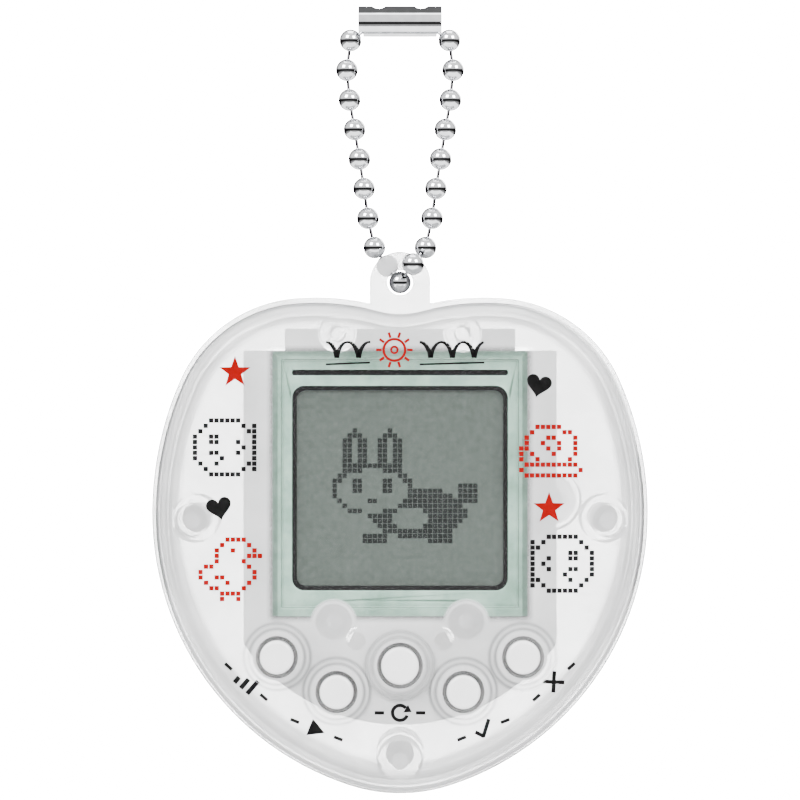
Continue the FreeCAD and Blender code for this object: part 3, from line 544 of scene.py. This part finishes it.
def print_icons(front):
    """A plain sign under each button in place of a word."""
    signs = {
        "level_sign": [bar((x, -0.9), (x, top), 0.5)
                       for x, top in ((-0.9, -0.1), (0.0, 0.4), (0.9, 0.95))],
        "next_sign": [[(-0.8, -0.95), (0.95, 0.0), (-0.8, 0.95)]],
        "restart_sign": ring(0.8, 0.36, 40, 340, 28) + [[(0.35, 0.05), (1.25, 0.1), (0.85, 0.85)]],
        "tick_sign": [bar((-0.9, 0.1), (-0.2, -0.7), 0.42),
                      bar((-0.32, -0.72), (0.95, 0.85), 0.42)],
        "cross_sign": [bar((-0.8, -0.8), (0.8, 0.8), 0.42), bar((-0.8, 0.8), (0.8, -0.8), 0.42)],
    }
    places = [(-16.4, -69.6, -41), (-8.9, -74.7, -22), (0.0, -72.9, 0),
              (8.9, -74.7, 22), (16.4, -69.6, 42)]
    for (name, outlines), (across, up, turn) in zip(signs.items(), places):
        reach = 1.7 if name == "restart_sign" else 2.0
        dashes = [bar((side * reach, 0), (side * (reach + 1.0), 0), 0.36) for side in (-1, 1)]
        shapes = [placed(outline, across, up, turn) for outline in outlines + dashes]
        ink(name, shapes, "black", front)


# ---------------------------------------------------------------- screen picture

PET_COLUMNS, PET_ROWS = 33, 23
PET_CENTRE = (16, 10)           # the column and row at the middle of the picture
PET_DROP = 0.8                  # how far the picture's middle lies below the gasket's


def inside(column, row, across, up, wide, tall):
    """True within an ellipse about a dot."""
    return ((column - across) / wide) ** 2 + ((row - up) / tall) ** 2 <= 1


def pet_cell(column, row):
    """True where the long-eared pet of the screen has a dark dot."""
    ears = inside(column, row, 7, 17.5, 2.4, 4.6) or inside(column, row, 14, 17.5, 2.4, 4.6)
    ear_holes = inside(column, row, 7, 17.5, 0.9, 3.0) or inside(column, row, 14, 17.5, 0.9, 3.0)
    head = inside(column, row, 10.5, 10.5, 8.4, 5.4)
    face = inside(column, row, 10.5, 10, 7.0, 4.2)
    eyes = inside(column, row, 7.5, 11, 1.3, 1.6) or inside(column, row, 13.5, 11, 1.3, 1.6)
    nose = row == 8 and 10 <= column <= 11
    body = inside(column, row, 19.5, 5.6, 9.6, 5.0)
    belly = inside(column, row, 18, 4.6, 3.4, 2.0)
    feet = row <= 1 and (9 <= column <= 13 or 22 <= column <= 26)
    tail = inside(column, row, 29.3, 9.5, 2.3, 2.3)
    if head:
        return eyes or nose or not face
    if ears:
        return not ear_holes
    return (body and not belly) or feet or tail


def draw_screen():
    """The pet's dots, on the face of the screen film."""
    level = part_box("front_polariser")[0][1] / MM
    gasket_low, gasket_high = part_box("lcd_gasket")
    middle = (gasket_low[2] + gasket_high[2]) / 2 / MM - PET_DROP
    cells = []
    for column in range(PET_COLUMNS):
        for row in range(PET_ROWS):
            if pet_cell(column, row):
                cells.append(square((column - PET_CENTRE[0]) * DOT,
                                    middle + (row - PET_CENTRE[1]) * DOT, DOT * 0.43))
    ink("screen_pet", cells, "dot", lambda across, up: level)


# ---------------------------------------------------------------- studio

# Metres and watts: each lamp's place from the toy's middle, its side and its power.
LAMPS = [("key", (-0.45, -0.55, 0.55), 0.40, 12), ("fill", (0.45, -0.55, 0.45), 0.35, 9),
         ("top", (0, 0.1, 0.8), 0.5, 4), ("back", (0.35, 0.6, 0.3), 0.5, 5)]
FLOOR_HALF, FLOOR_DROP = 0.2, 0.035     # half the floor's side, and its depth below the case
VIEW_WIDTH = 0.0871                     # how much of the toy's plane the picture spans
LENS, SENSOR = 150, 36                  # millimetres


def lamp(name, place, target, size, power):
    """A square soft box aimed at a point."""
    light = bpy.data.lights.new(name, "AREA")
    light.size, light.energy = size, power
    item = bpy.data.objects.new(name, light)
    item.location = place
    item.rotation_euler = (Vector(target) - Vector(place)).to_track_quat("-Z", "Y").to_euler()
    item.visible_camera = False
    bpy.context.scene.collection.objects.link(item)


def build_floor():
    """A plain pale floor well below the hanging toy."""
    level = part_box("front_case")[0][2] - FLOOR_DROP
    signs = ((-1, -1), (1, -1), (1, 1), (-1, 1))
    corners = [(x * FLOOR_HALF, y * FLOOR_HALF, level) for x, y in signs]
    mesh = bpy.data.meshes.new("floor")
    mesh.from_pydata(corners, [], [(0, 1, 2, 3)])
    paint = plain("floor_paint", (0.86, 0.86, 0.86), (0.88, 0.88, 0.88), (0.6, 0.7), grain=3.0)
    mesh.materials.append(paint)
    floor = bpy.data.objects.new("floor", mesh)
    bpy.context.scene.collection.objects.link(floor)


def grey(level):
    """An opaque grey; the world's may be brighter than one."""
    return level, level, level, 1


def build_world():
    """White behind the toy; in reflections a bright ceiling, a dark horizon and a dark far side."""
    world = bpy.data.worlds.new("studio")
    world.use_nodes = True
    tree = world.node_tree
    coords = tree.nodes.new("ShaderNodeTexCoord")
    split = tree.nodes.new("ShaderNodeSeparateXYZ")
    tree.links.new(coords.outputs["Generated"], split.inputs[0])
    ramp = tree.nodes.new("ShaderNodeValToRGB")
    stops = ramp.color_ramp.elements
    stops[0].color, stops[-1].color = grey(0.9), grey(1.8)
    for place, level in ((0.34, 0.5), (0.42, 0.02), (0.55, 0.02), (0.62, 1.6)):
        stops.new(place).color = grey(level)
    height = tree.nodes.new("ShaderNodeMapRange")
    height.inputs["From Min"].default_value = -1.0
    tree.links.new(split.outputs["Z"], height.inputs["Value"])
    tree.links.new(height.outputs["Result"], ramp.inputs["Fac"])
    far = tree.nodes.new("ShaderNodeMapRange")
    for socket, setting in (("From Min", 0.1), ("From Max", 0.8),
                            ("To Min", 1.0), ("To Max", 0.05)):
        far.inputs[socket].default_value = setting
    tree.links.new(split.outputs["Y"], far.inputs["Value"])
    path = tree.nodes.new("ShaderNodeLightPath")
    strength = tree.nodes.new("ShaderNodeMix")
    tree.links.new(path.outputs["Is Camera Ray"], strength.inputs["Factor"])
    tree.links.new(far.outputs["Result"], strength.inputs["A"])
    strength.inputs["B"].default_value = 1.0
    mix = tree.nodes.new("ShaderNodeMix")
    mix.data_type = "RGBA"
    tree.links.new(path.outputs["Is Camera Ray"], mix.inputs["Factor"])
    tree.links.new(ramp.outputs["Color"], mix.inputs["A"])
    mix.inputs["B"].default_value = grey(30.0)
    back = tree.nodes["Background"]
    tree.links.new(mix.outputs["Result"], back.inputs["Color"])
    tree.links.new(strength.outputs["Result"], back.inputs["Strength"])
    bpy.context.scene.world = world


def build_camera(middle):
    """A long lens level with the toy's middle, straight in front of it."""
    camera = bpy.data.cameras.new("camera")
    camera.lens, camera.sensor_width = LENS, SENSOR
    item = bpy.data.objects.new("camera", camera)
    item.location = (0, -VIEW_WIDTH * LENS / SENSOR, middle.z)
    item.rotation_euler = (math.radians(90), 0, 0)
    bpy.context.scene.collection.objects.link(item)
    bpy.context.scene.camera = item


def build_studio():
    """Lamps, floor, world and camera."""
    low, high = cad_bounds
    middle = Vector((0, 0, (low[2] + high[2]) / 2))
    for name, offset, size, power in LAMPS:
        lamp(name, middle + Vector(offset), middle, size, power)
    build_floor()
    build_world()
    build_camera(middle)


# ---------------------------------------------------------------- scene

def squash_domes():
    """Each button's dome gets a mesh of its own."""
    for joint in frame["record"]["behaviour"]["joints"]:
        name = joint["name"]
        if not name.startswith("button_"):
            continue
        dome = nodes[name.replace("button_", "dome_").replace("_press", "")]
        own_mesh(dome)


dress_cad()
squash_domes()
for moulded, edge_width in (("front_case", 0.22), ("lcd_holder", 0.2)):
    soften(moulded, edge_width)
case_front = surface_finder("front_case")
print_pictures(case_front)
print_banner(case_front)
print_icons(case_front)
draw_screen()
build_studio()
